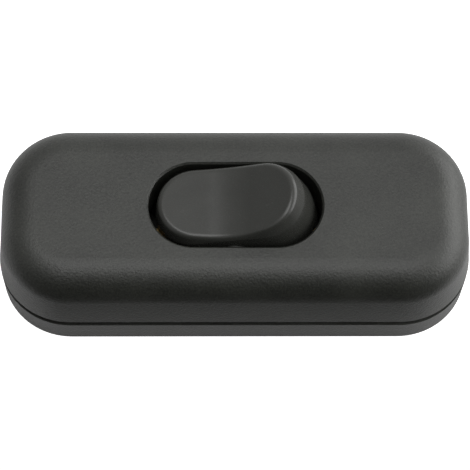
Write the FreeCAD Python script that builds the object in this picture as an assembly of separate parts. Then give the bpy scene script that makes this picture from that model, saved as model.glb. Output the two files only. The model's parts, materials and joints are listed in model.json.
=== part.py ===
import FreeCAD, Part
import math
import os

# Inline cord switch for a lamp lead: a two-part moulded housing with a see-saw rocker.
# Millimetres. The origin is the middle of the base's underside, X runs along the cord,
# Y across it and Z up. The rocker is modelled with its left end pressed, contacts closed.

# Housing, outside
length = 66.0
width = 26.8
height = 16.4
corner_radius = 10.1
top_edge_radius = 4.9
cover_draft = 5.7            # degrees that the cover's walls lean in
base_draft = 1.5             # degrees that the base's walls lean in towards the underside
base_edge_bevel = 0.6
rim_height = 6.4             # the cover's rim above the underside
groove_height = 1.2          # shadow groove between the two shells
groove_depth = 1.0
lip_rise = 1.6               # how far the base's lip stands up inside the cover's rim

# Housing, inside
wall = 2.0
floor = 1.8
ceiling = 2.0
seam_gap = 0.05              # all round between the lip and the cover's rebate

# Cord entries
cord_hole_radius = 3.3
cord_height = 5.8            # the cord's axis above the underside

# Rocker opening
opening_length = 24.0
opening_width = 12.5
opening_edge_bevel = 0.25
collar_wall = 1.2            # dust collar that hangs round the opening
collar_drop = 3.6

# Rocker: two facets that meet in a soft crease, on a drafted skirt
facet_angle = 13.0           # degrees; also the tilt each way, so a pressed facet is level
facet_rise = 0.44            # how far a pressed facet stands above the cover
crease_height = 3.85         # the facets' meeting line above the pivot
crease_radius = 14.0
shoulder_height = 3.6        # the edge between the skirt and the sloped band, above the pivot
shoulder_length = 20.96
shoulder_width = 11.1
band_angle = 20.0            # degrees that the band leans in above the shoulder
skirt_length = 22.2
skirt_width = 11.76
skirt_drop = 2.4             # the skirt's lower edge below the pivot
facet_edge_bevel = 0.35
rocker_wall = 1.6
rocker_roof = 1.4
rocker_rib = 1.2
pin_radius = 1.2
pin_length = 1.75
pin_boss_radius = 2.2
pin_clearance = 0.05         # radial, in the bearing
bearing_thickness = 1.6
bearing_half_width = 3.0
bearing_below_pin = 1.5
snap_pinch = 0.1             # each side, by which the snap-in slot is narrower than the pin

# Plunger and its spring, in the rocker's stem tube
stem_radius = 2.6
stem_drop = 4.0              # the tube's mouth below the pivot
plunger_radius = 1.45
plunger_clearance = 0.05
plunger_body = 3.0
plunger_nose = 2.0            # length of its tapered nose
plunger_nose_radius = 0.45   # of the small flat at its very tip
plunger_gap = 0.05           # between its tip and the lever as it passes the middle
spigot_radius = 0.65
spigot_length = 1.0
spring_wire = 0.4
spring_clearance = 0.15      # radial, in the tube
spring_turns = 5.0
wire_steps = 12              # straight pieces in one turn of the spring
wire_sides = 6

# See-saw contact lever on its knife edge
lever_tilt = 6.0             # degrees each way
fulcrum_height = 5.45        # the knife edge's centre line above the underside
knife_radius = 0.25
knife_clearance = 0.05
knife_bite = 0.15            # how far the knife stands into the lever's notch
lever_thickness = 0.8
lever_bend_radius = 0.3
lever_corner_radius = 1.1
lever_share = 0.164          # the lever's width, as a share of the housing's
lever_reach = 7.9            # from the fulcrum to the contact end
lever_tail = 6.0             # from the fulcrum to the toe's outer face
contact_reach = 6.2          # from the fulcrum to the moving contact
contact_radius = 1.4
contact_head = 0.5
contact_gap = 0.05
rivet_shank_radius = 0.75
rivet_top_radius = 1.1
rivet_top_height = 0.3

# Brass strips under the lever
strip_thickness = 0.8
strip_width = 3.8
strip_margin = 0.4           # of the strip's end beyond the fixed contact
seat_height = 3.2            # the moulded seats that the strips and blocks lie on
ear_gap = 0.15               # between the lever's sides and the saddle's ears
ear_thickness = 0.8
ear_half_length = 1.3
ear_corner_radius = 0.8
ear_height = 7.0             # the ears' top above the underside

# Terminal blocks
block_bevel = 0.3
terminal_length = 5.6
terminal_width = 5.4
terminal_height = 5.6
wire_hole_radius = 1.3
wire_height = 3.0            # the wire hole's axis above the block's foot
screw_radius = 1.5           # terminal screws
screw_stand_off = 0.9        # above the block, the screw not fully home
thread_clearance = 0.03
link_share = 0.164           # the link's width, as a share of the housing's
link_height = 5.0
link_side_gap = 0.4          # between its nest and the base's side wall
link_end_gap = 4.8           # between its end and the cover screw's post
link_screw_from_end = 3.5
nest_gap = 0.1
nest_wall = 1.0
nest_height = 3.0
stop_height = 0.8
barrier_height = 7.8

# Cord clamps
clamp_from_end = 7.5         # its middle from the housing's end
clamp_length = 4.4
clamp_screw_place = 6.2
clamp_end_radius = 2.3
clamp_seat_height = 6.6
clamp_end_height = 2.4
clamp_arch_radius = 3.1
clamp_arch_wall = 1.8
clamp_screw_radius = 1.1
clamp_screw_head_radius = 2.1
clamp_screw_head_height = 1.5
clamp_screw_length = 6.4
clamp_hole_clearance = 0.2
saddle_rib = 1.0
saddle_spacing = 2.6
saddle_half_width = 4.6
saddle_height = 2.6          # the ribs' tips above the floor

# Screw heads
slot_width = 0.6
slot_depth = 0.7
cross_arm = 1.3              # of the cross recess, from the middle

# Cover screws, driven from below
cover_screw_from_end = 13.5
cover_screw_from_side = 5.8
cover_screw_radius = 1.15
cover_screw_head_radius = 2.2
cover_screw_head_height = 1.5
cover_screw_length = 9.0
counterbore_radius = 2.5
counterbore_depth = 2.2
post_wall = 1.2
boss_radius = 2.6
shank_clearance = 0.25

# Worked out from the sizes above
half_length = length / 2
half_width = width / 2
base_rim = rim_height - groove_height
cover_screw_x = half_length - cover_screw_from_end
cover_screw_y = half_width - cover_screw_from_side
clamp_place = half_length - clamp_from_end
terminal_place = (lever_reach + clamp_place - clamp_length / 2) / 2
lever_width = lever_share * width
link_width = link_share * width
link_length = 2 * (cover_screw_x - counterbore_radius - post_wall - link_end_gap)
link_screw_place = link_length / 2 - link_screw_from_end
link_place = half_width - wall - link_side_gap - nest_wall - nest_gap - link_width / 2
lip_top = rim_height + lip_rise
ceiling_height = height - ceiling
cover_lean = math.tan(math.radians(cover_draft))
base_lean = math.tan(math.radians(base_draft))
facet_slope = math.tan(math.radians(facet_angle))
pivot_height = height + facet_rise - crease_height * math.cos(math.radians(facet_angle))
bearing_foot = pivot_height - pin_radius - bearing_below_pin
fulcrum_to_lever = knife_radius - knife_bite
lever_top = fulcrum_to_lever + lever_thickness
plunger_tip = pivot_height - fulcrum_height - lever_top - plunger_gap
strip_top = seat_height + strip_thickness
tilt_sine = math.sin(math.radians(lever_tilt))
tilt_cosine = math.cos(math.radians(lever_tilt))
reach = 4 * length           # longer than anything, for cutting tools
LEFT, RIGHT = -1, 1
same = 0.001                 # lengths closer than this count as equal


def point(x, y, z):
    return FreeCAD.Vector(x, y, z)


X_AXIS, Y_AXIS, Z_AXIS = point(1, 0, 0), point(0, 1, 0), point(0, 0, 1)


def block(x0, x1, y0, y1, z0, z1):
    """A straight moulded rib or block between two corners."""
    return Part.makeBox(x1 - x0, y1 - y0, z1 - z0, point(x0, y0, z0))


def rod(radius, start, end):
    """A round bar from one point to another."""
    return Part.makeCylinder(radius, (end - start).Length, start, end - start)


def post(radius, x, y, z0, z1):
    return rod(radius, point(x, y, z0), point(x, y, z1))


def joined(shapes):
    """One solid from several that meet."""
    return shapes[0].multiFuse(shapes[1:]).removeSplitter()


def rounded_outline(half_x, half_y, radius, z):
    """A rectangle with round corners, as a wire at one height."""
    radius = min(radius, half_x, half_y)
    edges = []
    corners = [(1, 1, 0), (-1, 1, 90), (-1, -1, 180), (1, -1, 270)]
    arcs = []
    for side_x, side_y, start in corners:
        centre = point(side_x * (half_x - radius), side_y * (half_y - radius), z)
        circle = Part.Circle(centre, Z_AXIS, radius)
        arcs.append(Part.Arc(circle, math.radians(start), math.radians(start + 90)).toShape())
    for number, arc in enumerate(arcs):
        following = arcs[(number + 1) % len(arcs)]
        edges.append(arc)
        end, start = arc.Vertexes[-1].Point, following.Vertexes[0].Point
        if end.distanceToPoint(start) > same:
            edges.append(Part.makeLine(end, start))
    return Part.Wire(edges)


def stadium(full_length, full_width, z):
    return rounded_outline(full_length / 2, full_width / 2, full_width / 2, z)


def lofted(lower, upper):
    """A solid with straight walls between two unlike outlines."""
    return Part.makeLoft([lower, upper], True, True)


def half_section(reach, z0, z1, lean, edge_radius):
    """Half of an upright section: a wall that leans in from its foot, its top edge rounded."""
    foot, top = point(reach, 0, z0), point(reach - (z1 - z0) * lean, 0, z1)
    outline = []
    if edge_radius:
        angle = math.atan(lean)
        centre_z = z1 - edge_radius
        centre_x = reach - (centre_z - z0) * lean - edge_radius / math.cos(angle)
        start, middle, top = [
            point(centre_x + edge_radius * math.cos(turn), 0, centre_z + edge_radius * math.sin(turn))
            for turn in (angle, (angle + math.pi / 2) / 2, math.pi / 2)]
        outline = [Part.makeLine(foot, start), Part.Arc(start, middle, top).toShape()]
    else:
        outline = [Part.makeLine(foot, top)]
    inner_top, inner_foot = point(0, 0, z1), point(0, 0, z0)
    outline += [Part.makeLine(top, inner_top), Part.makeLine(inner_top, inner_foot),
                Part.makeLine(inner_foot, foot)]
    return Part.Face(Part.Wire(outline))


def rounded_block(half_x, half_y, radius, z0, z1, lean=0, edge_radius=0):
    """An upright block with round corners; with a lean its walls slope in towards the top."""
    radius = min(radius, half_x, half_y)
    centre_x, centre_y = half_x - radius, half_y - radius
    corner = half_section(radius, z0, z1, lean, edge_radius).revolve(point(0, 0, 0), Z_AXIS, 360)
    pieces = []
    for side_x in (LEFT, RIGHT):
        for side_y in (LEFT, RIGHT) if centre_y > 0 else (RIGHT,):
            pieces.append(corner.translated(point(side_x * centre_x, side_y * centre_y, 0)))
    sections = [(half_section(half_y, z0, z1, lean, edge_radius), 90, X_AXIS * centre_x)]
    if centre_y > 0:
        sections.append((half_section(half_x, z0, z1, lean, edge_radius), 0, Y_AXIS * centre_y))
    for section, turn, half_run in sections:
        for half_turn in (turn, turn + 180):
            face = section.rotated(point(0, 0, 0), Z_AXIS, half_turn)
            pieces.append(face.translated(half_run * -1).extrude(half_run * 2))
    return joined(pieces)


def housing_block(inset, z0, z1, lean=0, edge_radius=0):
    """An upright block on the housing's outline, set in from it at its foot."""
    return rounded_block(half_length - inset, half_width - inset, corner_radius - inset,
                         z0, z1, lean, edge_radius)


def stadium_block(full_length, full_width, z0, z1, lean=0):
    return rounded_block(full_length / 2, full_width / 2, full_width / 2, z0, z1, lean)


def level_edges(shape, z):
    """The edges that lie wholly at one height."""
    found = []
    for edge in shape.Edges:
        box = edge.BoundBox
        if abs(box.ZMin - z) < same and abs(box.ZMax - z) < same:
            found.append(edge)
    return found


def cord_holes():
    """Both cord entries as one pair of bars, to cut from the end walls."""
    inner = half_length - 2 * wall
    bars = []
    for side in (LEFT, RIGHT):
        bars.append(rod(cord_hole_radius, point(side * inner, 0, cord_height),
                        point(side * (half_length + wall), 0, cord_height)))
    return Part.makeCompound(bars)


def screw_places():
    """The cover screws stand on a diagonal, clear of the cord's cores."""
    return [(LEFT * cover_screw_x, cover_screw_y), (RIGHT * cover_screw_x, -cover_screw_y)]


def screw(head_radius, head_height, shank_radius, shank_length, crossed=False):
    """A screw with its head's underside at the origin and its shank pointing down."""
    head = Part.makeCylinder(head_radius, head_height)
    shank = Part.makeCylinder(shank_radius, shank_length, point(0, 0, -shank_length))
    half_slot = slot_width / 2
    foot = head_height - slot_depth
    if crossed:
        arm = cross_arm
        head = head.cut(block(-half_slot, half_slot, -arm, arm, foot, head_height))
    else:
        arm = head_radius
    head = head.cut(block(-arm, arm, -half_slot, half_slot, foot, head_height))
    return joined([head, shank])


def rocker_bearing(side):
    """The rib on the collar's outside that holds one of the rocker's pins."""
    inner = opening_width / 2
    y0, y1 = sorted((side * inner, side * (inner + bearing_thickness)))
    rib = block(-bearing_half_width, bearing_half_width, y0, y1, bearing_foot, ceiling_height)
    return rib.makeChamfer(bearing_half_width / 3, [edge for edge in level_edges(rib, bearing_foot)
                                                    if edge.BoundBox.XLength < same])


def pin_way():
    """The bore for both pins and the slot below it through which they snap in, as one tool."""
    outer = opening_width / 2 + bearing_thickness
    bore = rod(pin_radius + pin_clearance, point(0, -outer, pivot_height), point(0, outer, pivot_height))
    half_slot = pin_radius - snap_pinch
    return joined([bore, block(-half_slot, half_slot, -outer, outer, bearing_foot, pivot_height)])


def inner_bevel():
    """The bevel inside the cover's top edge that keeps the full wall under its outer radius."""
    return (2 - math.sqrt(2)) * max(top_edge_radius - wall, wall / 2)


def top_cover():
    """Upper shell: drafted walls, large edge radius, rocker opening, bosses and bearings."""
    shell = housing_block(0, rim_height, height, cover_lean, top_edge_radius)
    hollow = housing_block(wall, rim_height, ceiling_height, cover_lean)
    hollow = hollow.makeChamfer(inner_bevel(), level_edges(hollow, ceiling_height))
    rebate = housing_block(groove_depth - seam_gap, rim_height, lip_top)
    shell = shell.cut(hollow).cut(rebate)

    collar_foot = ceiling_height - collar_drop
    collar = stadium_block(opening_length + 2 * collar_wall, opening_width + 2 * collar_wall,
                           collar_foot, ceiling_height)
    bosses = [post(boss_radius, x, y, lip_top - lip_rise, ceiling_height) for x, y in screw_places()]
    shell = joined([shell, collar] + bosses)
    shell = shell.cut(stadium_block(opening_length, opening_width, collar_foot, height))
    rim = [edge for edge in level_edges(shell, height)
           if max(abs(edge.BoundBox.XMin), abs(edge.BoundBox.XMax)) < opening_length / 2 + same
           and max(abs(edge.BoundBox.YMin), abs(edge.BoundBox.YMax)) < opening_width / 2 + same]
    shell = shell.makeChamfer(opening_edge_bevel, rim)
    shell = joined([shell, rocker_bearing(LEFT), rocker_bearing(RIGHT)]).cut(pin_way())
    for x, y in screw_places():
        depth = counterbore_depth + cover_screw_length + cover_screw_radius
        shell = shell.cut(post(cover_screw_radius + thread_clearance, x, y, rim_height, depth))
    return shell.cut(cord_holes())


def nest_spaces():
    """The room that each terminal block takes in its nest, kept free of the screw posts."""
    half_x, half_y = terminal_length / 2 + nest_gap, terminal_width / 2 + nest_gap
    return [block(side * terminal_place - half_x, side * terminal_place + half_x, -half_y, half_y,
                  seat_height, lip_top) for side in (LEFT, RIGHT)]


def screw_posts():
    """Posts on the base for the cover screws, wide enough for the counterbores."""
    room = Part.makeCompound(nest_spaces())
    return [post(counterbore_radius + post_wall, x, y, floor / 2, rim_height).cut(room)
            for x, y in screw_places()]


def clamp_pillars():
    """Pillars and cord saddle ribs under each clamp bar."""
    made = []
    for side in (LEFT, RIGHT):
        for screw_side in (LEFT, RIGHT):
            middle = screw_side * clamp_screw_place
            made.append(block(side * clamp_place - clamp_length / 2, side * clamp_place + clamp_length / 2,
                              middle - clamp_end_radius, middle + clamp_end_radius,
                              floor / 2, clamp_seat_height))
        for shift in (LEFT, RIGHT):
            middle = side * clamp_place + shift * saddle_spacing / 2
            rib = block(middle - saddle_rib / 2, middle + saddle_rib / 2,
                        -saddle_half_width, saddle_half_width, floor / 2, floor + saddle_height)
            trough = rod(cord_hole_radius, point(middle - saddle_rib, 0, cord_height),
                         point(middle + saddle_rib, 0, cord_height))
            made.append(rib.cut(trough))
    return made


def strip_seats():
    """Raised seats for the strips, side walls for the blocks and the barrier between poles."""
    half = strip_width / 2
    saddle_half = lever_width / 2 + ear_gap + ear_thickness
    outer = terminal_place + terminal_length / 2
    made = [block(-outer, outer, -half, half, floor / 2, seat_height),
            block(-ear_half_length, ear_half_length, -saddle_half, saddle_half, floor / 2, seat_height)]
    block_half = terminal_width / 2 + nest_gap
    for side in (LEFT, RIGHT):
        x0, x1 = sorted((side * (terminal_place - terminal_length / 2), side * outer))
        made.append(block(x0, x1, -block_half - nest_wall, block_half + nest_wall, floor / 2, seat_height))
        for wall_side in (LEFT, RIGHT):
            y0, y1 = sorted((wall_side * block_half, wall_side * (block_half + nest_wall)))
            made.append(block(x0, x1, y0, y1, floor / 2, seat_height + nest_height))
        x0, x1 = sorted((side * (outer + nest_gap), side * (outer + nest_gap + nest_wall)))
        made.append(block(x0, x1, -block_half - nest_wall, block_half + nest_wall,
                          floor / 2, seat_height + stop_height))
    link_half = link_width / 2 + nest_gap
    end = link_length / 2 + nest_gap
    made.append(block(-end - nest_wall, end + nest_wall, -link_place - link_half - nest_wall,
                      -link_place + link_half + nest_wall, floor / 2, seat_height))
    made.append(block(-end, end, -link_place - link_half - nest_wall, -link_place - link_half,
                      floor / 2, seat_height + nest_height))
    made.append(block(-end - nest_wall, end + nest_wall, -link_place + link_half,
                      -link_place + link_half + nest_wall, floor / 2, barrier_height))
    for side in (LEFT, RIGHT):
        x0, x1 = sorted((side * end, side * (end + nest_wall)))
        made.append(block(x0, x1, -link_place - link_half - nest_wall, -link_place + link_half,
                          floor / 2, seat_height + stop_height))
    return made


def base_shell():
    """Lower shell: floor, low walls, the lip that enters the cover, posts and seats."""
    shell = housing_block(base_rim * base_lean, 0, base_rim, -base_lean)
    shell = shell.makeChamfer(base_edge_bevel, level_edges(shell, 0))
    lip = housing_block(groove_depth, base_rim - wall, lip_top)
    shell = joined([shell, lip]).cut(housing_block(wall, floor, lip_top))
    shell = joined([shell] + screw_posts() + clamp_pillars() + strip_seats())
    for x, y in screw_places():
        shell = shell.cut(post(counterbore_radius, x, y, 0, counterbore_depth))
        shell = shell.cut(post(cover_screw_radius + shank_clearance, x, y, 0, rim_height))
    for side in (LEFT, RIGHT):
        for screw_side in (LEFT, RIGHT):
            hole_foot = clamp_seat_height + clamp_end_height - clamp_screw_length - clamp_screw_radius
            shell = shell.cut(post(clamp_screw_radius + thread_clearance, side * clamp_place,
                                   screw_side * clamp_screw_place, max(hole_foot, floor),
                                   clamp_seat_height))
    shank_pocket = post(rivet_shank_radius + thread_clearance, contact_reach, 0,
                        seat_height - strip_thickness / 2, seat_height)
    return shell.cut(shank_pocket).cut(cord_holes())


def facet_surface(drop):
    """Everything below the rocker's two facets and their crease, lowered by a drop."""
    crest = crease_height - drop
    radius = crease_radius + drop
    centre_height = crest + radius / math.cos(math.radians(facet_angle))
    tangent_x = radius * math.sin(math.radians(facet_angle))
    tangent_z = centre_height - radius * math.cos(math.radians(facet_angle))
    far = skirt_length
    far_z = crest + far * facet_slope
    low = -reach
    left, right = point(-tangent_x, 0, tangent_z), point(tangent_x, 0, tangent_z)
    edges = [Part.makeLine(point(-far, 0, far_z), left),
             Part.Arc(left, point(0, 0, centre_height - radius), right).toShape(),
             Part.makeLine(right, point(far, 0, far_z)),
             Part.makeLine(point(far, 0, far_z), point(far, 0, low)),
             Part.makeLine(point(far, 0, low), point(-far, 0, low)),
             Part.makeLine(point(-far, 0, low), point(-far, 0, far_z))]
    face = Part.Face(Part.Wire(edges))
    face.translate(point(0, -skirt_width, 0))
    return face.extrude(point(0, 2 * skirt_width, 0))


def at_rest(shape):
    """Turn a piece from the rocker's middle position, pivot at the origin, to its rest pose."""
    shape = shape.copy()
    shape.rotate(point(0, 0, 0), Y_AXIS, -facet_angle)
    shape.translate(point(0, 0, pivot_height))
    return shape


def lever_at_rest(shape):
    """Turn a piece from the lever's middle position, fulcrum at the origin, to its rest pose."""
    shape = shape.copy()
    shape.rotate(point(0, 0, 0), Y_AXIS, lever_tilt)
    shape.translate(point(0, 0, fulcrum_height))
    return shape


def rocker():
    """Moulded rocker with its pins, hollow below, and the stem tube for the plunger."""
    skirt = lofted(stadium(skirt_length, skirt_width, 0),
                   stadium(shoulder_length, shoulder_width, shoulder_height))
    apron = stadium_block(skirt_length, skirt_width, -skirt_drop, 0)
    band_rise = facet_slope * shoulder_length / 2 + crease_height - shoulder_height
    band = stadium_block(shoulder_length, shoulder_width, shoulder_height, shoulder_height + band_rise,
                         math.tan(math.radians(band_angle)))
    body = joined([apron, skirt, band]).common(facet_surface(0))
    facet_edges = [edge for edge in body.Edges if edge.BoundBox.ZMin > shoulder_height + same
                   and edge.BoundBox.XLength > same]
    body = body.makeChamfer(facet_edge_bevel, facet_edges)
    cavity = stadium_block(shoulder_length - 2 * rocker_wall, shoulder_width - 2 * rocker_wall,
                           0, shoulder_height + band_rise)
    mouth = stadium_block(skirt_length - 2 * rocker_wall, skirt_width - 2 * rocker_wall, -skirt_drop, 0)
    cavity = cavity.common(facet_surface(rocker_roof))
    hollow = body.cut(cavity).cut(mouth)

    inner_half = shoulder_width / 2 - rocker_wall
    core = Part.makeCylinder(stem_radius, stem_drop + crease_height, point(0, 0, -stem_drop))
    cross_rib = block(-rocker_rib / 2, rocker_rib / 2, -inner_half, inner_half, -skirt_drop, crease_height)
    long_rib = block(-shoulder_length / 2 + rocker_wall, shoulder_length / 2 - rocker_wall,
                     -rocker_rib / 2, rocker_rib / 2, crease_height / 3, shoulder_height + band_rise)
    inside = [shape.common(facet_surface(rocker_roof / 2)) for shape in (core, cross_rib, long_rib)]
    pieces = [hollow] + inside
    for side in (LEFT, RIGHT):
        pieces.append(rod(pin_boss_radius, point(0, side * inner_half, 0),
                          point(0, side * skirt_width / 2, 0)))
        pieces.append(rod(pin_radius, point(0, side * inner_half, 0),
                          point(0, side * (skirt_width / 2 + pin_length), 0)))
    whole = joined(pieces)
    bore = post(plunger_radius + plunger_clearance, 0, 0, -stem_drop, crease_height - rocker_roof)
    return at_rest(whole.cut(bore))


def plunger():
    """Nylon pin: tapered nose, guided body, and a spigot that centres the spring."""
    nose = Part.makeCone(plunger_nose_radius, plunger_radius, plunger_nose)
    body = post(plunger_radius, 0, 0, plunger_nose, plunger_nose + plunger_body)
    spigot = post(spigot_radius, 0, 0, plunger_nose + plunger_body,
                  plunger_nose + plunger_body + spigot_length)
    made = joined([nose, body, spigot])
    made.translate(point(0, 0, -plunger_tip))
    return at_rest(made)


def wire_corners():
    """The corner angles of the spring wire's section, the first one repeated to close it."""
    return [2 * math.pi * number / wire_sides for number in range(wire_sides + 1)]


def plunger_spring():
    """Compression spring between the plunger's shoulder and the tube's end."""
    seat = plunger_nose - plunger_tip + plunger_body
    top = crease_height - rocker_roof
    coil_radius = plunger_radius + plunger_clearance - spring_clearance - spring_wire / 2
    steps = int(spring_turns * wire_steps)
    low, high = seat + spring_wire / 2, top - spring_wire / 2
    sections = []
    for step in range(steps + 1):
        turn = 360 * spring_turns * step / steps
        section = Part.makePolygon([point(coil_radius + spring_wire / 2 * math.cos(corner), 0,
                                          spring_wire / 2 * math.sin(corner))
                                    for corner in wire_corners()])
        section.rotate(point(0, 0, 0), Z_AXIS, turn)
        section.translate(point(0, 0, low + (high - low) * step / steps))
        sections.append(section)
    return at_rest(Part.makeLoft(sections, True, True))


def lever_toe():
    """How far the toe's foot lies below the fulcrum, to land on the strip at the far tilt."""
    landing = strip_top + contact_gap - fulcrum_height
    return (landing + (lever_tail - lever_thickness / 2) * tilt_sine) / tilt_cosine


def contact_lever():
    """Brass see-saw: notched over the knife edge, pierced for its contact, one end turned down."""
    half = lever_width / 2
    plate = block(-lever_tail, lever_reach, -half, half, fulcrum_to_lever, lever_top)
    toe = block(-lever_tail, -lever_tail + lever_thickness, -half, half, lever_toe(), lever_top)
    lever = joined([plate, toe])
    bend = [edge for edge in level_edges(lever, lever_top)
            if abs(edge.BoundBox.XMax + lever_tail) < same]
    lever = lever.makeFillet(lever_bend_radius, bend)
    corners = [edge for edge in lever.Edges if abs(edge.BoundBox.XMin - lever_reach) < same
               and edge.BoundBox.YLength < same]
    lever = lever.makeFillet(lever_corner_radius, corners)
    notch = rod(knife_radius + knife_clearance, point(0, -half, 0), point(0, half, 0))
    hole = post(rivet_shank_radius, contact_reach, 0, fulcrum_to_lever, lever_top)
    return lever_at_rest(lever.cut(notch).cut(hole))


def moving_contact():
    """Silver rivet: flat head below the lever, shank through it and a closed end above."""
    under = fulcrum_to_lever
    head = post(contact_radius, contact_reach, 0, under - contact_head, under)
    shank = post(rivet_shank_radius, contact_reach, 0, under, lever_top)
    closed = post(rivet_top_radius, contact_reach, 0, lever_top, lever_top + rivet_top_height)
    return lever_at_rest(joined([head, shank, closed]))


def fixed_contact_top():
    """The height just under the moving contact's lowest point with the contacts closed."""
    face = fulcrum_to_lever - contact_head
    lowest = contact_reach + contact_radius
    return fulcrum_height - lowest * tilt_sine + face * tilt_cosine - contact_gap


def fixed_contact():
    """Silver rivet in the strip, its shank headed flush with the underside."""
    head = post(contact_radius, contact_reach, 0, strip_top, fixed_contact_top())
    shank = post(rivet_shank_radius, contact_reach, 0, seat_height, strip_top)
    return joined([head, shank])


def strip(side, near):
    """A flat brass strip from near the middle out under a terminal block."""
    far = side * (terminal_place + terminal_length / 2)
    x0, x1 = sorted((far, near))
    return block(x0, x1, -strip_width / 2, strip_width / 2, seat_height, strip_top)


def fulcrum_strip():
    """Strip with a saddle: a knife edge across it and an ear each side of the lever."""
    flat = strip(LEFT, ear_half_length)
    inner = lever_width / 2 + ear_gap
    outer = inner + ear_thickness
    foot = block(-ear_half_length, ear_half_length, -outer, outer, seat_height, strip_top)
    ears = []
    for side in (LEFT, RIGHT):
        y0, y1 = sorted((side * inner, side * outer))
        ear = block(-ear_half_length, ear_half_length, y0, y1, seat_height, ear_height)
        top_corners = [edge for edge in level_edges(ear, ear_height) if edge.BoundBox.XLength < same]
        ears.append(ear.makeFillet(ear_corner_radius, top_corners))
    half_knife = strip_thickness / 2
    profile = Part.makePolygon([point(-half_knife, 0, strip_top), point(-half_knife, 0, fulcrum_height
                                - 2 * knife_radius), point(-knife_radius, 0, fulcrum_height),
                                point(knife_radius, 0, fulcrum_height),
                                point(half_knife, 0, fulcrum_height - 2 * knife_radius),
                                point(half_knife, 0, strip_top), point(-half_knife, 0, strip_top)])
    knife = Part.Face(profile)
    knife.translate(point(0, -strip_width / 2, 0))
    knife = knife.extrude(point(0, strip_width, 0))
    edge_bar = rod(knife_radius, point(0, -strip_width / 2, fulcrum_height),
                   point(0, strip_width / 2, fulcrum_height))
    return joined([flat, foot, knife, edge_bar] + ears)


def fixed_contact_strip():
    """Strip that carries the fixed contact."""
    flat = strip(RIGHT, contact_reach - contact_radius - strip_margin)
    return flat.cut(post(rivet_shank_radius, contact_reach, 0, seat_height, strip_top))


def terminal(side):
    """Brass block astride a strip, with a wire hole along X and a screw hole from above."""
    x0 = side * terminal_place - terminal_length / 2
    top = seat_height + terminal_height
    body = block(x0, x0 + terminal_length, -terminal_width / 2, terminal_width / 2, seat_height, top)
    body = body.makeChamfer(block_bevel, level_edges(body, top))
    body = body.cut(block(x0, x0 + terminal_length, -strip_width / 2, strip_width / 2,
                          seat_height, strip_top))
    wire_way = rod(wire_hole_radius, point(x0, 0, seat_height + wire_height),
                   point(x0 + terminal_length, 0, seat_height + wire_height))
    screw_way = post(screw_radius + thread_clearance, side * terminal_place, 0,
                     seat_height + wire_height, top)
    return body.cut(wire_way).cut(screw_way)


def neutral_link():
    """Brass bar that passes the neutral core through, with a screw for each side."""
    end = link_length / 2
    top = seat_height + link_height
    bar = block(-end, end, -link_place - link_width / 2, -link_place + link_width / 2,
                seat_height, top)
    bar = bar.makeChamfer(block_bevel, level_edges(bar, top))
    bar = bar.cut(rod(wire_hole_radius, point(-end, -link_place, seat_height + link_height / 2),
                      point(end, -link_place, seat_height + link_height / 2)))
    for side in (LEFT, RIGHT):
        bar = bar.cut(post(screw_radius + thread_clearance, side * link_screw_place, -link_place,
                           seat_height + link_height / 2, top))
    return bar


def terminal_screw(x, y, block_top, wire_axis):
    """A headless slotted screw that stands a little proud, its tip just inside the wire hole."""
    top = block_top + screw_stand_off
    made = post(screw_radius, x, y, wire_axis + wire_hole_radius / 3, top)
    half_slot = slot_width / 2
    return made.cut(block(x - screw_radius, x + screw_radius, y - half_slot, y + half_slot,
                          top - slot_depth, top))


def cord_clamp(side):
    """Clamp bar: an arch over the cord between two flat ends on their pillars."""
    outer_arch = clamp_arch_radius + clamp_arch_wall
    x0 = side * clamp_place - clamp_length / 2
    x1 = x0 + clamp_length
    ends = block(x0, x1, -clamp_screw_place - clamp_end_radius, clamp_screw_place + clamp_end_radius,
                 clamp_seat_height, clamp_seat_height + clamp_end_height)
    arch = rod(outer_arch, point(x0, 0, cord_height), point(x1, 0, cord_height))
    arch = arch.cut(block(x0, x1, -outer_arch, outer_arch, cord_height - outer_arch, clamp_seat_height))
    bar = joined([ends, arch])
    bar = bar.cut(rod(clamp_arch_radius, point(x0, 0, cord_height), point(x1, 0, cord_height)))
    for screw_side in (LEFT, RIGHT):
        bar = bar.cut(post(clamp_screw_radius + clamp_hole_clearance, side * clamp_place,
                           screw_side * clamp_screw_place, clamp_seat_height,
                           clamp_seat_height + clamp_end_height))
    return bar


def clamp_screws(side):
    """The two screws of one clamp bar."""
    pair = []
    for screw_side in (LEFT, RIGHT):
        made = screw(clamp_screw_head_radius, clamp_screw_head_height, clamp_screw_radius,
                     clamp_screw_length)
        made.translate(point(side * clamp_place, screw_side * clamp_screw_place,
                             clamp_seat_height + clamp_end_height))
        pair.append(made)
    return Part.makeCompound(pair)


def cover_screw(x, y):
    """A self-tapping screw, driven upwards from the counterbore."""
    made = screw(cover_screw_head_radius, cover_screw_head_height, cover_screw_radius,
                 cover_screw_length, crossed=True)
    made.rotate(point(0, 0, 0), X_AXIS, 180)
    made.translate(point(x, y, counterbore_depth))
    return made


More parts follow.
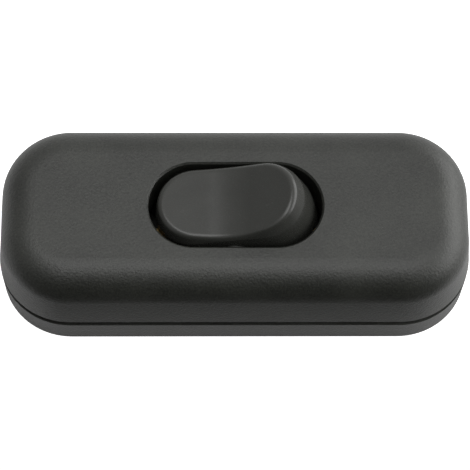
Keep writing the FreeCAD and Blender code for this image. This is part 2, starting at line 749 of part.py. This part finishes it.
def all_pieces():
    block_top = seat_height + terminal_height
    block_wire = seat_height + wire_height
    link_top = seat_height + link_height
    link_wire = seat_height + link_height / 2
    (left_x, left_y), (right_x, right_y) = screw_places()
    return {
        "top_cover": top_cover(),
        "base_shell": base_shell(),
        "rocker": rocker(),
        "plunger": plunger(),
        "plunger_spring": plunger_spring(),
        "contact_lever": contact_lever(),
        "moving_contact": moving_contact(),
        "fulcrum_strip": fulcrum_strip(),
        "fixed_contact_strip": fixed_contact_strip(),
        "fixed_contact": fixed_contact(),
        "line_in_terminal": terminal(RIGHT),
        "line_out_terminal": terminal(LEFT),
        "neutral_link": neutral_link(),
        "line_in_screw": terminal_screw(terminal_place, 0, block_top, block_wire),
        "line_out_screw": terminal_screw(-terminal_place, 0, block_top, block_wire),
        "neutral_in_screw": terminal_screw(link_screw_place, -link_place, link_top, link_wire),
        "neutral_out_screw": terminal_screw(-link_screw_place, -link_place, link_top, link_wire),
        "cord_clamp_left": cord_clamp(LEFT),
        "cord_clamp_right": cord_clamp(RIGHT),
        "clamp_screws_left": clamp_screws(LEFT),
        "clamp_screws_right": clamp_screws(RIGHT),
        "cover_screw_left": cover_screw(left_x, left_y),
        "cover_screw_right": cover_screw(right_x, right_y),
    }


os.makedirs("parts", exist_ok=True)
for name, shape in all_pieces().items():
    solids = shape.Solids
    box = shape.BoundBox
    print(name, "solids", len(solids), "valid", shape.isValid(), "volume", round(shape.Volume, 1),
          "x", round(box.XMin, 2), round(box.XMax, 2), "y", round(box.YMin, 2), round(box.YMax, 2),
          "z", round(box.ZMin, 2), round(box.ZMax, 2))
    shape.exportStep("parts/" + name + ".step")
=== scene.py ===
import json
import math

import bmesh
import bpy
from mathutils import Matrix, Vector


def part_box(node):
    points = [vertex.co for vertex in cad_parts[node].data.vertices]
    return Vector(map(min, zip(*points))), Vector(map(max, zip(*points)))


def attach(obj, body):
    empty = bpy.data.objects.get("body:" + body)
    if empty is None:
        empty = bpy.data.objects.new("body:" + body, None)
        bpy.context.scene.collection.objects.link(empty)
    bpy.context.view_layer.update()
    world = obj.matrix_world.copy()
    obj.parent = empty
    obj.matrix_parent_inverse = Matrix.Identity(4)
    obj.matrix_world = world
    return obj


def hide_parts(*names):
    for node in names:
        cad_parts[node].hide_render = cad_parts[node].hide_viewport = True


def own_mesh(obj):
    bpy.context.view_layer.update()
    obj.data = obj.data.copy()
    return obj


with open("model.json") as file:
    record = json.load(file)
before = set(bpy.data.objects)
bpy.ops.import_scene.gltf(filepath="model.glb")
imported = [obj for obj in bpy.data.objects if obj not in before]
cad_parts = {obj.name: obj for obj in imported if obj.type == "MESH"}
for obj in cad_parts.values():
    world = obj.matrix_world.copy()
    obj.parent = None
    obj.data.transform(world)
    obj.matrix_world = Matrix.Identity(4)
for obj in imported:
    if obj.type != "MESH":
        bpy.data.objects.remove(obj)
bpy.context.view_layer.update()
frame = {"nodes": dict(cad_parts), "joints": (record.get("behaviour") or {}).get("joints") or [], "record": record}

# Inline cord switch, photographed from the front and high above.
# The frame is in metres: X runs along the cord, Y across it, Z up, with the base's underside at 0.

MM = 0.001

# Camera, from the outline of the housing in the photograph
ELEVATION = math.radians(66.3)
AZIMUTH = math.radians(-2.0)
ROLL = math.radians(-1.8)
DISTANCE = 330 * MM
AIM = Vector((0.06, 0.0, 6.0)) * MM
SENSOR = 36.0                # in Blender's own camera millimetres
SEEN_WIDTH = 66.48 * MM      # across the frame at the aim

# Sky: how bright it is by how far a direction leans from the front (-1) to the back (1), and from
# the left (-1) to the right (1)
SKY_LIGHT = 1.1
SKY_FRONT_TO_BACK = ((-0.95, 0.03), (-0.78, 0.12), (-0.6, 0.5), (-0.38, 1.1), (0.1, 1.0))
SKY_LEFT_TO_RIGHT = ((-1.0, 0.32), (-0.5, 0.62), (0.0, 0.86), (0.9, 1.08))

# Rectangular lamps that face the switch: name, place and size in metres, watts
SOFTBOXES = (
    ("right_side", (0.8, 0.2, 0.28), (1.3, 0.8), 9.0),
    ("overhead", (-0.04, -0.03, 0.9), (0.75, 0.36), 2.7),
)

# Paper under the switch, its colour painted: pale close to the switch's front and dark farther out, so that it
# throws painted bounce light up only close to the switch's front. Its glow, which only the camera sees, shows it
# white to its far edge.
PAPER_REACH = 3.0                    # metres from the middle to each edge
PAPER_NEAR, PAPER_FAR = 0.78, 0.06   # how much light it throws back
PAPER_FADE = (0.0155, 0.0235)        # metres in front of the middle where it turns from near to far
PAPER_GLOW = 0.95
PAPER_MOTTLE = 0.02

# The rocker's tilt at rest and the line of its pivot
JOINTS = {joint["name"]: joint for joint in frame["joints"]}
TILT = math.radians(13.0)
PIVOT = Vector(JOINTS["rocker_pivot"]["pos_m"])

# The rocker's upper part, in its own level frame with the pivot at the origin
SHOULDER = 3.6 * MM              # height of the crisp line under the sloped band
SHOULDER_STRAIGHT = 4.93 * MM    # half the shoulder's straight run; its ends are half circles
BAND_LEAN = math.radians(20.0)
CREASE_HEIGHT = 3.85 * MM
CREASE_RADIUS = 14.0 * MM
RIM_RADIUS = 0.8 * MM            # of the roll between band and facet
LARGEST_ROLL = 0.85              # of the band's own width, where the band is narrow

# How finely that upper part is divided
BAND_RINGS = (0.5, 0.95)         # shares of the way from the shoulder up to the roll
RIM_STEPS = 8
FACET_RINGS = (0.97, 0.75, 0.5, 0.25, 0.0)   # shares of the way from the facet's middle to the roll
STRAIGHT_CUTS = 23               # in each straight run, so that the crease stays round
HALVINGS = 40                    # in the search for the corner between band and facet
BESIDE_CORNER = 0.99             # share of the way to that corner, to read the facet's slope there
UPWARD = 0.9                     # a face's normal leans up at least this far on a facet
SHARP_TURN = math.radians(30.0)
MERGE = 0.001 * MM
ON_LINE = 0.01 * MM

# Plunger spring
WIRE_RADIUS = 0.2 * MM
COIL_RADIUS = 1.15 * MM
COIL_TURNS = 5.0
COIL_STEPS, WIRE_SIDES = 40, 14
SPRING_SEAT, SPRING_TOP = -1.689 * MM, 2.45 * MM   # along the stem tube, from the pivot

# Screws, in millimetres: the piece, its nodes, the radii of head, core and thread, the shank's length,
# and if it is driven from below, with a cross recess in place of a slot
SCREWS = (
    ("clamp_bar_screws", ("clamp_screws_left", "clamp_screws_right"), 2.1, 0.85, 1.1, 6.4, False),
    ("cover_self_tappers", ("cover_screw_left", "cover_screw_right"), 2.2, 0.88, 1.15, 9.0, True),
)
SCREW_HEAD = 1.5 * MM
SCREW_PITCH = 0.9 * MM
HEAD_RIM = 0.55                  # the head's upright rim, as a share of its height
CROWN_TOP = 0.72                 # the rest leans in to this share of its radius
RECESS_WIDTH = 0.3               # of the head's radius
RECESS_DEPTH = 0.55              # of the head's height
SLOT_LENGTH, CROSS_LENGTH = 2.4, 1.25        # of the head's radius
THREAD_END = 0.97                # of the shank's length
HEAD_SIDES, CORE_SIDES = 48, 32
THREAD_STEPS, THREAD_SIDES = 28, 6


def colour(red, green, blue):
    return (red, green, blue, 1.0)


class Amount:
    """A number that varies from place to place. Arithmetic on it adds Math nodes."""

    def __init__(self, layout, socket):
        self.layout, self.socket = layout, socket

    def combined(self, operation, first, second):
        return self.layout.amount("ShaderNodeMath", {"operation": operation}, {0: first, 1: second})

    def __add__(self, other):
        return self.combined("ADD", self, other)

    __radd__ = __add__

    def __sub__(self, other):
        return self.combined("SUBTRACT", self, other)

    def __rsub__(self, other):
        return self.combined("SUBTRACT", other, self)

    def __mul__(self, other):
        return self.combined("MULTIPLY", self, other)

    __rmul__ = __mul__

    def __truediv__(self, other):
        return self.combined("DIVIDE", self, other)

    def __rtruediv__(self, other):
        return self.combined("DIVIDE", other, self)


class Layout:
    """A node tree while its nodes are being laid out."""

    def __init__(self, tree):
        self.tree = tree

    def node(self, kind, settings=None, sockets=None):
        made = self.tree.nodes.new(kind)
        for key, value in (settings or {}).items():
            if key == "stops":
                self.set_stops(made.color_ramp.elements, value)
            else:
                setattr(made, key, value)
        for key, value in (sockets or {}).items():
            self.feed(made.inputs[key], value)
        return made

    @staticmethod
    def set_stops(elements, stops):
        while len(elements) < len(stops):
            elements.new(1.0)
        for element, (position, shade) in zip(elements, stops):
            element.position = position
            element.color = colour(shade, shade, shade)

    def feed(self, socket, value):
        """Links or sets an input."""
        if isinstance(value, Amount):
            value = value.socket
        if isinstance(value, bpy.types.NodeSocket):
            self.tree.links.new(value, socket)
        else:
            socket.default_value = value

    def out(self, kind, settings=None, sockets=None, output=0):
        """One output of a new node."""
        return self.node(kind, settings, sockets).outputs[output]

    def amount(self, kind, settings=None, sockets=None, output=0):
        """The same, as a number for arithmetic."""
        return Amount(self, self.out(kind, settings, sockets, output))


class Shading(Layout):
    """The shader tree of a material or of the sky."""

    def __init__(self, owner):
        owner.use_nodes = True
        super().__init__(owner.node_tree)
        self.tree.nodes.clear()

    def ramp(self, amount, *stops):
        """A number read through stops of (position, value)."""
        return self.amount("ShaderNodeValToRGB", {"stops": stops}, {"Fac": amount})


class Finish(Shading):
    """A procedural material on Object coordinates."""

    def __init__(self, name, **constants):
        self.material = bpy.data.materials.new(name)
        super().__init__(self.material)
        self.shader = self.node("ShaderNodeBsdfPrincipled")
        self.wear(**constants)
        self.node("ShaderNodeOutputMaterial", sockets={"Surface": self.shader.outputs[0]})
        self.place = self.out("ShaderNodeTexCoord", output="Object")

    def stretched(self, along):
        """Object coordinates squeezed or stretched on each axis, for brushed or drawn metal."""
        return self.out("ShaderNodeMapping", sockets={"Vector": self.place, "Scale": along})

    def noise(self, size, detail=2.0, roughness=0.5, place=None):
        """Soft noise whose blotches are about the given size in metres."""
        return self.amount("ShaderNodeTexNoise", sockets={
            "Vector": place or self.place, "Scale": 1.0 / size, "Detail": detail,
            "Roughness": roughness})

    def cells(self, size, feature="F1"):
        """Distance to the nearest of many scattered points, for pits and spots."""
        return self.amount("ShaderNodeTexVoronoi", {"feature": feature},
                           {"Vector": self.place, "Scale": 1.0 / size})

    def blend(self, factor, low, high):
        """A colour between two, by a factor from 0 to 1."""
        return self.out("ShaderNodeMix", {"data_type": "RGBA"},
                        {0: factor, 6: colour(*low), 7: colour(*high)}, output=2)

    def bump(self, height, depth):
        return self.out("ShaderNodeBump", sockets={"Height": height, "Distance": depth})

    def wear(self, **inputs):
        """Feeds the shader's inputs, named with underscores for spaces."""
        for key, value in inputs.items():
            self.feed(self.shader.inputs[key.replace("_", " ")], value)
        return self.material


def sparked_plastic(name, dark, light, grain, depth, rough):
    """Moulded plastic from a spark-eroded tool: matt, with fine rounded pits."""
    finish = Finish(name, Specular_IOR_Level=0.5)
    pits = finish.cells(grain, "SMOOTH_F1")
    grit = finish.noise(0.6 * grain, detail=3.0, roughness=0.6)
    flecks = finish.noise(0.85 * grain, detail=4.0, roughness=0.75)
    patches = finish.noise(9 * MM, detail=3.0)
    height = 0.6 * pits + 0.6 * grit
    shade = finish.ramp(0.3 * patches + 0.7 * flecks, (0.36, 0.0), (0.64, 1.0))
    return finish.wear(
        Base_Color=finish.blend(shade, dark, light),
        Roughness=rough - 0.05 + 0.1 * patches + 0.06 * grit,
        Normal=finish.bump(height, depth))


def polished_plastic(name, dark, light, rough, ripple, mirror):
    """Plastic from a polished tool: a faint sink and ripple, and hairline scuffs."""
    finish = Finish(name, Specular_IOR_Level=mirror)
    sink = finish.noise(5 * MM, detail=1.0)
    peel = finish.noise(0.5 * MM)
    scuffs = finish.noise(0.25 * MM, place=finish.stretched((1.0, 9.0, 1.0)))
    scuffed = finish.ramp(scuffs, (0.62, 0.0), (0.7, 1.0))
    smears = finish.noise(3.5 * MM, detail=3.0, roughness=0.6)
    return finish.wear(
        Base_Color=finish.blend(smears, dark, light),
        Roughness=rough + 0.08 * smears + 0.12 * scuffed,
        Normal=finish.bump(sink + 0.15 * peel - 0.04 * scuffed, ripple))


def rolled_metal(name, pale, deep, rough, grain_along):
    """Rolled or drawn metal: fine lines one way, with a little tarnish."""
    finish = Finish(name, Metallic=1.0)
    lines = finish.noise(0.12 * MM, place=finish.stretched(grain_along))
    tarnish = finish.ramp(finish.noise(2.2 * MM, detail=4.0, roughness=0.62), (0.42, 0.0), (0.75, 1.0))
    return finish.wear(
        Base_Color=finish.blend(tarnish, pale, deep),
        Roughness=rough + 0.12 * lines + 0.14 * tarnish,
        Normal=finish.bump(lines, 0.012 * MM))


def plated_metal(name, pale, deep, rough):
    """Plated steel or a struck contact: a soft grainy skin with small dull spots."""
    finish = Finish(name, Metallic=1.0)
    skin = finish.noise(0.3 * MM, detail=3.0)
    spots = finish.ramp(finish.cells(0.9 * MM), (0.12, 1.0), (0.3, 0.0))
    return finish.wear(
        Base_Color=finish.blend(0.5 * spots + 0.5 * skin, pale, deep),
        Roughness=rough + 0.1 * skin + 0.15 * spots,
        Normal=finish.bump(skin, 0.01 * MM))


def finishes():
    """One finish for each material slot of the record."""
    return {
        "housing": sparked_plastic(
            "housing_spark_black", (0.0045, 0.0050, 0.0036), (0.0235, 0.0250, 0.0205),
            grain=0.32 * MM, depth=0.05 * MM, rough=0.42),
        "clamp_plastic": sparked_plastic(
            "clamp_satin_grey", (0.05, 0.05, 0.05), (0.085, 0.085, 0.085),
            grain=0.5 * MM, depth=0.02 * MM, rough=0.42),
        "rocker": polished_plastic(
            "rocker_gloss_black", (0.0205, 0.0211, 0.0187), (0.0275, 0.0284, 0.0252),
            rough=0.22, ripple=0.02 * MM, mirror=0.38),
        "nylon": polished_plastic(
            "plunger_nylon", (0.66, 0.63, 0.55), (0.76, 0.74, 0.66),
            rough=0.38, ripple=0.02 * MM, mirror=0.5),
        "brass": rolled_metal(
            "strip_brass", (0.56, 0.40, 0.17), (0.34, 0.22, 0.08),
            rough=0.3, grain_along=(0.12, 1.0, 1.0)),
        "brass_block": rolled_metal(
            "block_brass", (0.62, 0.46, 0.21), (0.40, 0.27, 0.10),
            rough=0.3, grain_along=(1.0, 1.0, 0.2)),
        "spring_steel": rolled_metal(
            "spring_wire", (0.62, 0.61, 0.60), (0.38, 0.37, 0.36),
            rough=0.24, grain_along=(1.0, 1.0, 1.0)),
        "silver": plated_metal(
            "contact_silver", (0.88, 0.87, 0.84), (0.62, 0.60, 0.56), rough=0.28),
        "plated_steel": plated_metal(
            "screw_zinc", (0.72, 0.72, 0.70), (0.46, 0.46, 0.43), rough=0.3),
    }


class Growth(Layout):
    """A Geometry Nodes tree with named sizes. It ends in Realize Instances and Set Material."""

    def __init__(self, name, **sizes):
        super().__init__(bpy.data.node_groups.new(name, "GeometryNodeTree"))
        self.sizes = {key.replace("_", " "): value for key, value in sizes.items()}
        face = self.tree.interface
        face.new_socket("Geometry", in_out="INPUT", socket_type="NodeSocketGeometry")
        face.new_socket("Geometry", in_out="OUTPUT", socket_type="NodeSocketGeometry")
        for key in self.sizes:
            face.new_socket(key, in_out="INPUT", socket_type="NodeSocketFloat")
        face.new_socket("Finish", in_out="INPUT", socket_type="NodeSocketMaterial")
        self.given = self.node("NodeGroupInput").outputs

    def amounts(self):
        """The tree's sizes in their order, for arithmetic."""
        return [Amount(self, self.given[key]) for key in self.sizes]

    def lifted(self, geometry, height):
        lift = self.out("ShaderNodeCombineXYZ", sockets={"Z": height})
        return self.out("GeometryNodeTransform", sockets={"Geometry": geometry, "Translation": lift})

    def joined(self, *geometries):
        join = self.node("GeometryNodeJoinGeometry")
        for geometry in geometries:
            self.feed(join.inputs[0], geometry)
        return join.outputs[0]

    def at_each_point(self, geometry):
        """Ends the tree: one copy of the geometry at each point that the tree is given."""
        copies = self.out("GeometryNodeInstanceOnPoints", sockets={
            "Points": self.given["Geometry"], "Instance": geometry})
        whole = self.out("GeometryNodeRealizeInstances", sockets={"Geometry": copies})
        whole = self.out("GeometryNodeSetMaterial", sockets={
            "Geometry": whole, "Material": self.given["Finish"]})
        self.node("NodeGroupOutput", sockets={0: whole})
        return self


def added(name, data):
    """A new object in the scene."""
    made = bpy.data.objects.new(name, data)
    bpy.context.scene.collection.objects.link(made)
    return made


def grown(name, tree, finish, places):
    """Runs a tree on a set of points and returns the result as a plain mesh object."""
    seed = bpy.data.meshes.new(name + "_places")
    seed.from_pydata(places, [], [])
    source = added(name + "_places", seed)
    modifier = source.modifiers.new("grow", "NODES")
    modifier.node_group = tree.tree
    for item in tree.tree.interface.items_tree:
        if item.in_out == "INPUT" and item.name != "Geometry":
            modifier[item.identifier] = finish if item.name == "Finish" else tree.sizes[item.name]
    bpy.context.view_layer.update()
    evaluated = source.evaluated_get(bpy.context.evaluated_depsgraph_get())
    mesh = bpy.data.meshes.new_from_object(evaluated)
    source.modifiers.remove(modifier)
    bpy.data.objects.remove(source)
    return added(name, mesh)


def crisp(piece, angle=35.0):
    """Smooth faces that meet at a slight angle, and keep the sharp edges sharp."""
    mesh = piece.data
    mesh.shade_smooth()
    mesh.set_sharp_from_angle(angle=math.radians(angle))
    return piece


def placed(piece, matrix):
    """Moves a piece's mesh, so that its object stays at the origin."""
    piece.data.transform(matrix)
    piece.data.update()
    return piece


def fitted(piece, body, slot, *nodes):
    """The piece rides on its body and stands for its CAD nodes. The slot is not used."""
    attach(piece, body)
    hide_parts(*nodes)


def spring_tree(wire_radius, coil_radius, turns, height):
    """A coil of round wire that climbs from its first turn to its last."""
    tree = Growth("coil_spring", Wire_Radius=wire_radius, Coil_Radius=coil_radius, Turns=turns,
                  Height=height)
    wire_radius, coil_radius, turns, height = tree.amounts()
    spiral = tree.out("GeometryNodeCurveSpiral", sockets={
        "Resolution": COIL_STEPS, "Rotations": turns, "Start Radius": coil_radius,
        "End Radius": coil_radius, "Height": height})
    section = tree.out("GeometryNodeCurvePrimitiveCircle", sockets={
        "Resolution": WIRE_SIDES, "Radius": wire_radius})
    wire = tree.out("GeometryNodeCurveToMesh", sockets={
        "Curve": spiral, "Profile Curve": section, "Fill Caps": True})
    return tree.at_each_point(wire)


def screw_tree(name, head_radius, core_radius, crest_radius, length, crossed):
    """A threaded screw that hangs from the underside of its head."""
    tree = Growth(name, Head_Radius=head_radius, Head_Height=SCREW_HEAD, Core_Radius=core_radius,
                  Crest_Radius=crest_radius, Length=length, Pitch=SCREW_PITCH)
    head_radius, head_height, core_radius, crest_radius, length, pitch = tree.amounts()

    rim_height = HEAD_RIM * head_height
    rim = tree.out("GeometryNodeMeshCylinder", sockets={
        "Vertices": HEAD_SIDES, "Radius": head_radius, "Depth": rim_height})
    crown = tree.out("GeometryNodeMeshCone", sockets={
        "Vertices": HEAD_SIDES, "Radius Top": CROWN_TOP * head_radius, "Radius Bottom": head_radius,
        "Depth": (1 - HEAD_RIM) * head_height})
    head = tree.joined(tree.lifted(rim, 0.5 * rim_height), tree.lifted(crown, rim_height))
    head = tree.out("GeometryNodeMergeByDistance", sockets={"Geometry": head, "Distance": MERGE})

    along = (CROSS_LENGTH if crossed else SLOT_LENGTH) * head_radius
    across = RECESS_WIDTH * head_radius
    cut = tree.node("GeometryNodeMeshBoolean", {"operation": "DIFFERENCE"}, {"Mesh 1": head})
    for size_x, size_y in ((along, across), (across, along)) if crossed else ((along, across),):
        size = tree.out("ShaderNodeCombineXYZ", sockets={
            "X": size_x, "Y": size_y, "Z": 2 * RECESS_DEPTH * head_height})
        cutter = tree.out("GeometryNodeMeshCube", sockets={"Size": size})
        tree.feed(cut.inputs["Mesh 2"], tree.lifted(cutter, head_height))

    core = tree.out("GeometryNodeMeshCylinder", sockets={
        "Vertices": CORE_SIDES, "Radius": core_radius, "Depth": length})
    turns = length / pitch - 1.0
    spiral = tree.out("GeometryNodeCurveSpiral", sockets={
        "Resolution": THREAD_STEPS, "Rotations": turns, "Start Radius": core_radius,
        "End Radius": core_radius, "Height": turns * pitch})
    ridge = tree.out("GeometryNodeCurvePrimitiveCircle", sockets={
        "Resolution": THREAD_SIDES, "Radius": crest_radius - core_radius})
    thread = tree.out("GeometryNodeCurveToMesh", sockets={
        "Curve": spiral, "Profile Curve": ridge, "Fill Caps": True})
    return tree.at_each_point(tree.joined(
        cut.outputs[0], tree.lifted(core, -0.5 * length), tree.lifted(thread, -THREAD_END * length)))


def camera():
    """The photograph's view."""
    back = Vector((math.sin(AZIMUTH) * math.cos(ELEVATION), -math.cos(AZIMUTH) * math.cos(ELEVATION),
                   math.sin(ELEVATION)))
    right = Vector((math.cos(AZIMUTH), math.sin(AZIMUTH), 0.0))
    up = back.cross(right)
    rolled_right = math.cos(ROLL) * right - math.sin(ROLL) * up
    rolled_up = math.sin(ROLL) * right + math.cos(ROLL) * up
    turn = Matrix((rolled_right, rolled_up, back)).transposed().to_4x4()

    lens = bpy.data.cameras.new("camera")
    lens.sensor_width = SENSOR
    lens.lens = SENSOR * DISTANCE / SEEN_WIDTH
    lens.clip_start = 10 * MM
    holder = added("camera", lens)
    holder.matrix_world = Matrix.Translation(AIM + DISTANCE * back) @ turn
    bpy.context.scene.camera = holder
    bpy.context.scene.view_settings.view_transform = "Standard"


def paper_with_painted_bounce():
    """The paper that the switch lies on, its colour painted pale near the switch's front and dark farther out as a
    painted bounce, with a glow that only the camera sees.
    """
    reach = PAPER_REACH
    mesh = bpy.data.meshes.new("floor")
    mesh.from_pydata([(-reach, -reach, 0), (reach, -reach, 0), (reach, reach, 0), (-reach, reach, 0)],
                     [], [(0, 1, 2, 3)])
    floor = added("floor", mesh)
    paper = Finish("floor_paper", Specular_IOR_Level=0.2, Roughness=0.8, Emission_Strength=1.0)
    forward = -1.0 * paper.amount("ShaderNodeSeparateXYZ", sockets={"Vector": paper.place}, output="Y")
    start, end = PAPER_FADE
    # Painted bounce light and painted shade: the paper's colour is pale close to the switch's front and dark
    # farther out
    painted_bounce = paper.ramp(forward * (1 / end), (start / end, PAPER_NEAR), (1.0, PAPER_FAR))
    mottle = PAPER_MOTTLE * paper.noise(0.3)
    seen = paper.amount("ShaderNodeLightPath", output="Is Camera Ray")
    mesh.materials.append(paper.wear(
        Base_Color=painted_bounce + mottle,
        Emission_Color=PAPER_GLOW * seen))


def soft_sky():
    """Light from a wide soft dome: brightest above and a little behind, dim towards the front."""
    world = bpy.data.worlds.new("studio")
    sky = Shading(world)
    direction = sky.out("ShaderNodeTexCoord", output="Generated")
    strength = SKY_LIGHT
    for axis, stops in (("Y", SKY_FRONT_TO_BACK), ("X", SKY_LEFT_TO_RIGHT)):
        lean = sky.amount("ShaderNodeSeparateXYZ", sockets={"Vector": direction}, output=axis)
        stops = [((place + 1) / 2, share) for place, share in stops]
        strength = strength * sky.ramp(0.5 * lean + 0.5, *stops)
    light = sky.out("ShaderNodeBackground", sockets={
        "Color": colour(1.0, 1.0, 1.0), "Strength": strength})
    sky.node("ShaderNodeOutputWorld", sockets={"Surface": light})
    bpy.context.scene.world = world


def softboxes():
    for name, place, size, power in SOFTBOXES:
        lamp = bpy.data.lights.new(name, "AREA")
        lamp.shape = "RECTANGLE"
        lamp.size, lamp.size_y = size
        lamp.energy = power
        stand = added(name, lamp)
        stand.location = place
        stand.rotation_euler = (-Vector(place)).to_track_quat("-Z", "Y").to_euler()


def dressed_nodes(surfaces):
    """Every CAD node gets the finish of its slot."""
    for part in frame["record"]["subparts"]:
        mesh = frame["nodes"][part["node"]].data
        mesh.materials.clear()
        mesh.materials.append(surfaces[part["material_slot"]])


def rocker_frame():
    """From the rocker's own frame, level and with its pivot at the origin, to its place at rest."""
    return Matrix.Translation(PIVOT) @ Matrix.Rotation(-TILT, 4, "Y")


def facet_height(along):
    """Height of the facets over the pivot, at a place along the rocker: two slopes and a round crease."""
    if abs(along) > CREASE_RADIUS * math.sin(TILT):
        return CREASE_HEIGHT + math.tan(TILT) * abs(along)
    return CREASE_HEIGHT + CREASE_RADIUS / math.cos(TILT) - math.sqrt(CREASE_RADIUS ** 2 - along ** 2)


def rolled_profile(foot):
    """Points from the shoulder up the band, over the rolled rim and across the facet to its middle."""
    middle = Vector((max(-SHOULDER_STRAIGHT, min(SHOULDER_STRAIGHT, foot.x)), 0.0, 0.0))
    outward = Vector((foot.x, foot.y, 0.0)) - middle
    reach = outward.length
    outward.normalize()

    def on_facet(distance):
        place = middle + distance * outward
        return Vector((place.x, place.y, facet_height(place.x)))

    inner, outer = 0.0, reach
    for _ in range(HALVINGS):
        halfway = (inner + outer) / 2
        band_height = SHOULDER + (reach - halfway) / math.tan(BAND_LEAN)
        if band_height > on_facet(halfway).z:
            inner = halfway
        else:
            outer = halfway
    corner = on_facet(outer)
    down = (foot - corner).normalized()
    inward = (on_facet(BESIDE_CORNER * outer) - corner).normalized()
    half_turn = (math.pi - down.angle(inward)) / 2
    roll = min(RIM_RADIUS * math.tan(half_turn), LARGEST_ROLL * (foot - corner).length)
    low, high = corner + roll * down, corner + roll * inward

    points = [foot.lerp(low, share) for share in BAND_RINGS]
    for step in range(RIM_STEPS + 1):
        share = step / RIM_STEPS
        first, last = (1 - share) ** 2, share ** 2
        pull = 2 * share * (1 - share) * math.cos(half_turn)
        points.append((first * low + pull * corner + last * high) / (first + pull + last))
    facet_reach = (high - middle).to_2d().length
    return points + [on_facet(share * facet_reach) for share in FACET_RINGS]


def on_shoulder(edge):
    return all(abs(end.co.z - SHOULDER) < ON_LINE for end in edge.verts)


def upper_faces(shape):
    """The faces above the shoulder line, found by spreading out from the facets."""
    found = {face for face in shape.faces
             if face.normal.z > UPWARD and face.calc_center_median().z > CREASE_HEIGHT}
    unsearched = list(found)
    while unsearched:
        for edge in unsearched.pop().edges:
            if on_shoulder(edge):
                continue
            for neighbour in edge.link_faces:
                if neighbour not in found:
                    found.add(neighbour)
                    unsearched.append(neighbour)
    return list(found)


def opening_loop(shape):
    """The corners round the mesh's only opening, in order."""
    opening = [edge for edge in shape.edges if edge.is_boundary]
    loop = list(opening[0].verts)
    while len(loop) < len(opening):
        onward = [edge.other_vert(loop[-1]) for edge in loop[-1].link_edges if edge.is_boundary]
        loop.append(onward[0] if onward[0] is not loop[-2] else onward[1])
    return loop


def soft_rimmed_rocker(surfaces):
    """The frame's rocker, with the edge round its facets rolled over as on a polished moulding."""
    shape = bmesh.new()
    shape.from_mesh(frame["nodes"]["rocker"].data)
    shape.transform(rocker_frame().inverted())
    bmesh.ops.remove_doubles(shape, verts=shape.verts, dist=MERGE)
    bmesh.ops.delete(shape, geom=upper_faces(shape), context="FACES")
    straight = [edge for edge in shape.edges
                if edge.is_boundary and edge.calc_length() > SHOULDER_STRAIGHT]
    bmesh.ops.subdivide_edges(shape, edges=straight, cuts=STRAIGHT_CUTS)

    ring = opening_loop(shape)
    for points in zip(*[rolled_profile(corner.co) for corner in ring]):
        above = [shape.verts.new(point) for point in points]
        for here in range(len(ring)):
            onward = (here + 1) % len(ring)
            shape.faces.new((ring[here], ring[onward], above[onward], above[here]))
        ring = above
    bmesh.ops.remove_doubles(shape, verts=shape.verts, dist=MERGE)
    bmesh.ops.recalc_face_normals(shape, faces=shape.faces)
    for face in shape.faces:
        face.smooth = True
    for edge in shape.edges:
        edge.smooth = not (on_shoulder(edge) or edge.calc_face_angle(0.0) > SHARP_TURN)
    shape.transform(rocker_frame())

    mesh = bpy.data.meshes.new("soft_rimmed_rocker")
    shape.to_mesh(mesh)
    shape.free()
    mesh.materials.append(surfaces["rocker"])
    fitted(added("soft_rimmed_rocker", mesh), "rocker", "rocker", "rocker")


def plunger_spring(surfaces):
    """Round coiled wire in place of the frame's faceted coil; the plunger presses it together."""
    low, high = SPRING_SEAT + WIRE_RADIUS, SPRING_TOP - WIRE_RADIUS
    tree = spring_tree(WIRE_RADIUS, COIL_RADIUS, COIL_TURNS, high - low)
    spring = placed(grown("coiled_spring", tree, surfaces["spring_steel"], [(0, 0, low)]), rocker_frame())
    fitted(crisp(spring, 60.0), "rocker", "spring_steel", "plunger_spring")
    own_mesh(spring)


def screws(surfaces):
    """Threaded screws in place of the frame's plain ones, their heads where the frame has them."""
    for name, nodes, head, core, thread, shank, from_below in SCREWS:
        tree = screw_tree(name, head * MM, core * MM, thread * MM, shank * MM, crossed=from_below)
        turned = Matrix.Rotation(math.pi if from_below else 0.0, 4, "X")
        places = []
        for node in nodes:
            low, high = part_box(node)
            seat = low.z + SCREW_HEAD if from_below else high.z - SCREW_HEAD
            # A head at each end of the node's box, which is one and the same for a single screw
            rows = sorted({round(low.y + head * MM, 5), round(high.y - head * MM, 5)})
            places += [turned @ Vector(((low.x + high.x) / 2, row, seat)) for row in rows]
        made = placed(grown(name, tree, surfaces["plated_steel"], places), turned)
        fitted(crisp(made), "housing", "plated_steel", *nodes)


surfaces = finishes()
camera()
paper_with_painted_bounce()
soft_sky()
softboxes()
dressed_nodes(surfaces)
soft_rimmed_rocker(surfaces)
plunger_spring(surfaces)
screws(surfaces)
